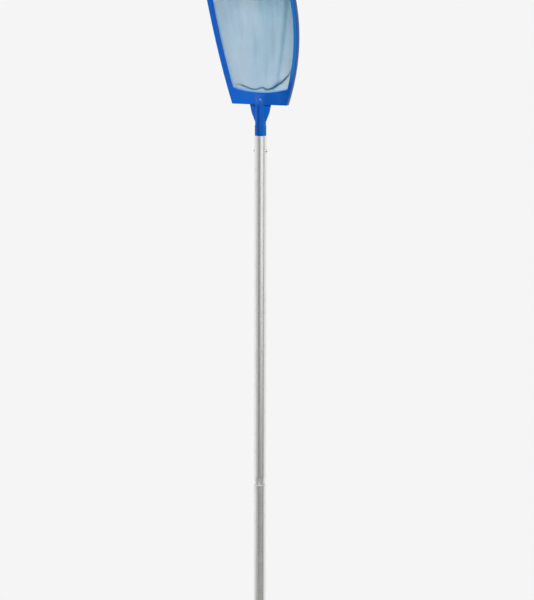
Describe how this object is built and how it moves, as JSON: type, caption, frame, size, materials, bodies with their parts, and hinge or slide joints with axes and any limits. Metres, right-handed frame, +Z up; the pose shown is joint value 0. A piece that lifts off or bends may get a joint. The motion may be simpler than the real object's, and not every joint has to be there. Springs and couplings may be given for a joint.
{
  "type": "leaf skimmer net",
  "caption": "Flat leaf skimmer net: a swept plastic frame with a shallow mesh bag on an aluminium pole in two snap-button sections.",
  "frame": {"origin": "centre of the hanging hole in the end cap, below the pole's lower end", "axes": "+Z up along the pole to the net, -Y towards the net's open mouth, +X to the right of the mouth"},
  "size_m": [0.2294, 0.1735, 2.255],
  "materials": {
    "frame_plastic": "smooth moulded",
    "clamp_plastic": "smooth moulded",
    "hem_fabric": "woven tape",
    "net_fabric": "fine mesh",
    "pole_aluminium": "satin anodised",
    "clip_steel": "spring strip",
    "button_steel": "plated",
    "cap_plastic": "smooth moulded"
  },
  "bodies": {
    "root": {"head_frame": "frame_plastic", "net_clamp_ring": "clamp_plastic", "net_hem": "hem_fabric", "net_bag": "net_fabric", "head_clip_spring": "clip_steel", "upper_tube": "pole_aluminium", "joint_clip_spring": "clip_steel", "lower_tube": "pole_aluminium", "end_cap": "cap_plastic"},
    "left_button": {"head_button_left": "button_steel"},
    "right_button": {"head_button_right": "button_steel"},
    "joint_button": {"joint_button": "button_steel"}
  },
  "joints": [
    {"name": "left_button_press", "type": "slide", "parent": "root", "child": "left_button", "axis": [1, 0, 0], "range_m": [0, 0.0052], "stiffness_N_per_m": 1200, "springref_m": -0.003, "deforming": ["head_clip_spring"]},
    {"name": "right_button_press", "type": "slide", "parent": "root", "child": "right_button", "axis": [-1, 0, 0], "range_m": [0, 0.0052], "stiffness_N_per_m": 1200, "springref_m": -0.003, "deforming": ["head_clip_spring"]},
    {"name": "joint_button_press", "type": "slide", "parent": "root", "child": "joint_button", "axis": [0, -1, 0], "range_m": [0, 0.0052], "stiffness_N_per_m": 1200, "springref_m": -0.003, "deforming": ["joint_clip_spring"]}
  ]
}
